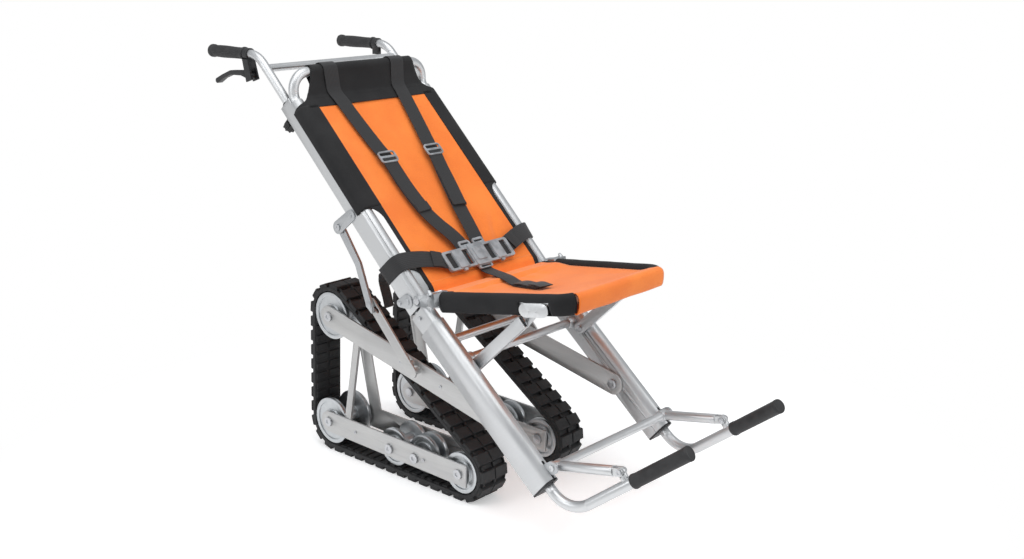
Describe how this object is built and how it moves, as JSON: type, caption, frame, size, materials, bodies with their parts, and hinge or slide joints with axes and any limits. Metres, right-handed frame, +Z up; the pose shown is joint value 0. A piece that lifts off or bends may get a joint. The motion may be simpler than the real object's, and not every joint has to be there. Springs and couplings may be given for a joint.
{
  "type": "evacuation chair",
  "caption": "Tracked stair evacuation chair with a sling seat and back, sliding push handle and foot frame, and two folding belt tracks on rollers.",
  "frame": {"origin": "centre of the bounding box's bottom face, on the floor under the belts", "axes": "+Z up, the chair faces -Y, +X towards the occupant's left"},
  "size_m": [0.473, 1.4681, 1.0179],
  "materials": {
    "anodised_profile": "satin anodised",
    "plate_steel": "zinc plated",
    "black_plastic": "matt",
    "silver_tube": "satin",
    "zinc_fasteners": "zinc plated",
    "grip_rubber": "matt ribbed",
    "bright_plate": "satin",
    "belt_rubber": "matt",
    "zinc_roller": "zinc plated",
    "orange_fabric": "woven, orange with black borders",
    "black_webbing": "woven webbing",
    "grey_plastic": "satin grey"
  },
  "bodies": {
    "frame": {"right_lower_stile": "anodised_profile", "left_lower_stile": "anodised_profile", "right_back_profile": "anodised_profile", "left_back_profile": "anodised_profile", "stile_inserts": "plate_steel", "stile_end_caps": "black_plastic", "slide_bushes": "black_plastic", "knuckle_plates": "plate_steel", "frame_cross_tubes": "silver_tube", "cross_tube_sockets": "plate_steel", "backrest_loop": "silver_tube", "frame_rivets": "zinc_fasteners", "track_pivot_bolts": "zinc_fasteners", "link_brackets": "plate_steel", "link_pivot_pins": "zinc_fasteners", "prop_bolts": "zinc_fasteners", "back_sling": "orange_fabric", "shoulder_straps": "black_webbing", "strap_adjusters": "grey_plastic", "waist_belt": "black_webbing", "harness_buckle": "grey_plastic"},
    "push_handle_frame": {"push_handle": "silver_tube", "push_grips": "grip_rubber", "handle_collar": "black_plastic", "brake_perch": "black_plastic"},
    "brake_lever": {"brake_lever": "black_plastic"},
    "right_knob": {"right_clamp_knob": "black_plastic"},
    "left_knob": {"left_clamp_knob": "black_plastic"},
    "seat_frame": {"seat_tube": "silver_tube", "seat_brackets": "plate_steel", "seat_side_plates": "bright_plate", "seat_sling": "orange_fabric", "crotch_strap": "black_webbing"},
    "seat_props": {"seat_props": "silver_tube"},
    "foot_frame": {"foot_tubes": "silver_tube", "foot_grips": "grip_rubber", "foot_ears": "plate_steel", "footrest_bar": "silver_tube", "foot_braces": "silver_tube", "clevis_pins": "zinc_fasteners"},
    "right_track": {"right_outer_plates": "plate_steel", "right_inner_plate": "plate_steel", "right_track_axles": "zinc_fasteners", "right_belt": "belt_rubber"},
    "right_link": {"right_track_link": "plate_steel"},
    "right_top_roller": {"right_top_roller": "zinc_roller"},
    "right_rear_roller": {"right_rear_roller": "zinc_roller"},
    "right_front_roller": {"right_front_roller": "zinc_roller"},
    "right_idler_a": {"right_idler_a": "zinc_roller"},
    "right_idler_b": {"right_idler_b": "zinc_roller"},
    "left_track": {"left_outer_plates": "plate_steel", "left_inner_plate": "plate_steel", "left_track_axles": "zinc_fasteners", "left_belt": "belt_rubber"},
    "left_link": {"left_track_link": "plate_steel"},
    "left_top_roller": {"left_top_roller": "zinc_roller"},
    "left_rear_roller": {"left_rear_roller": "zinc_roller"},
    "left_front_roller": {"left_front_roller": "zinc_roller"},
    "left_idler_a": {"left_idler_a": "zinc_roller"},
    "left_idler_b": {"left_idler_b": "zinc_roller"}
  },
  "joints": [
    {"name": "handle_slide", "type": "slide", "parent": "frame", "child": "push_handle_frame", "axis": [0, 0.7071, 0.7071], "range_m": [-0.08, 0.12]},
    {"name": "brake_squeeze", "type": "hinge", "parent": "push_handle_frame", "child": "brake_lever", "pos_m": [-0.214, 0.57509, 0.947], "axis": [1, 0, 0], "range_deg": [0, 14], "stiffness_Nm_per_rad": 1.2, "springref_deg": -8.59},
    {"name": "right_knob_turn", "type": "hinge", "parent": "frame", "child": "right_knob", "pos_m": [-0.214, 0.41804, 0.85103], "axis": [0, -0.7071, 0.7071], "range_deg": [0, 360]},
    {"name": "left_knob_turn", "type": "hinge", "parent": "frame", "child": "left_knob", "pos_m": [0.214, 0.41804, 0.85103], "axis": [0, -0.7071, 0.7071], "range_deg": [0, 360]},
    {"name": "seat_fold", "type": "hinge", "parent": "frame", "child": "seat_frame", "pos_m": [0, -0.01824, 0.48404], "axis": [-1, 0, 0], "range_deg": [0, 50]},
    {"name": "prop_fold", "type": "hinge", "parent": "frame", "child": "seat_props", "pos_m": [0, -0.15679, 0.34995], "axis": [1, 0, 0], "range_deg": [0, 25]},
    {"name": "foot_slide", "type": "slide", "parent": "frame", "child": "foot_frame", "axis": [0, -0.757, -0.6534], "range_m": [0, 0.1]},
    {"name": "right_track_fold", "type": "hinge", "parent": "frame", "child": "right_track", "pos_m": [0, -0.2579, 0.22834], "axis": [1, 0, 0], "range_deg": [0, 8]},
    {"name": "right_link_swing", "type": "hinge", "parent": "frame", "child": "right_link", "pos_m": [0, 0.2465, 0.615], "axis": [1, 0, 0], "range_deg": [-19, 0]},
    {"name": "right_top_roller_spin", "type": "hinge", "parent": "right_track", "child": "right_top_roller", "pos_m": [0, 0.341, 0.366], "axis": [1, 0, 0], "continuous": true},
    {"name": "right_rear_roller_spin", "type": "hinge", "parent": "right_track", "child": "right_rear_roller", "pos_m": [0, 0.356, 0.082], "axis": [1, 0, 0], "continuous": true},
    {"name": "right_front_roller_spin", "type": "hinge", "parent": "right_track", "child": "right_front_roller", "pos_m": [0, -0.103, 0.072], "axis": [1, 0, 0], "continuous": true},
    {"name": "right_idler_a_spin", "type": "hinge", "parent": "right_track", "child": "right_idler_a", "pos_m": [0, 0.131, 0.07], "axis": [1, 0, 0], "continuous": true},
    {"name": "right_idler_b_spin", "type": "hinge", "parent": "right_track", "child": "right_idler_b", "pos_m": [0, 0.043, 0.07], "axis": [1, 0, 0], "continuous": true},
    {"name": "left_track_fold", "type": "hinge", "parent": "frame", "child": "left_track", "pos_m": [0, -0.2579, 0.22834], "axis": [1, 0, 0], "range_deg": [0, 8]},
    {"name": "left_link_swing", "type": "hinge", "parent": "frame", "child": "left_link", "pos_m": [0, 0.2465, 0.615], "axis": [1, 0, 0], "range_deg": [-19, 0]},
    {"name": "left_top_roller_spin", "type": "hinge", "parent": "left_track", "child": "left_top_roller", "pos_m": [0, 0.341, 0.366], "axis": [1, 0, 0], "continuous": true},
    {"name": "left_rear_roller_spin", "type": "hinge", "parent": "left_track", "child": "left_rear_roller", "pos_m": [0, 0.356, 0.082], "axis": [1, 0, 0], "continuous": true},
    {"name": "left_front_roller_spin", "type": "hinge", "parent": "left_track", "child": "left_front_roller", "pos_m": [0, -0.103, 0.072], "axis": [1, 0, 0], "continuous": true},
    {"name": "left_idler_a_spin", "type": "hinge", "parent": "left_track", "child": "left_idler_a", "pos_m": [0, 0.131, 0.07], "axis": [1, 0, 0], "continuous": true},
    {"name": "left_idler_b_spin", "type": "hinge", "parent": "left_track", "child": "left_idler_b", "pos_m": [0, 0.043, 0.07], "axis": [1, 0, 0], "continuous": true}
  ],
  "couplings": [
    {"joint": "prop_fold", "follows": "seat_fold", "ratio": 0.5},
    {"joint": "right_link_swing", "follows": "right_track_fold", "ratio": -2.37},
    {"joint": "right_top_roller_spin", "follows": "right_rear_roller_spin", "ratio": 1},
    {"joint": "right_front_roller_spin", "follows": "right_rear_roller_spin", "ratio": 1.2},
    {"joint": "right_idler_a_spin", "follows": "right_rear_roller_spin", "ratio": 1.25},
    {"joint": "right_idler_b_spin", "follows": "right_rear_roller_spin", "ratio": 1.25},
    {"joint": "left_link_swing", "follows": "left_track_fold", "ratio": -2.37},
    {"joint": "left_top_roller_spin", "follows": "left_rear_roller_spin", "ratio": 1},
    {"joint": "left_front_roller_spin", "follows": "left_rear_roller_spin", "ratio": 1.2},
    {"joint": "left_idler_a_spin", "follows": "left_rear_roller_spin", "ratio": 1.25},
    {"joint": "left_idler_b_spin", "follows": "left_rear_roller_spin", "ratio": 1.25}
  ]
}
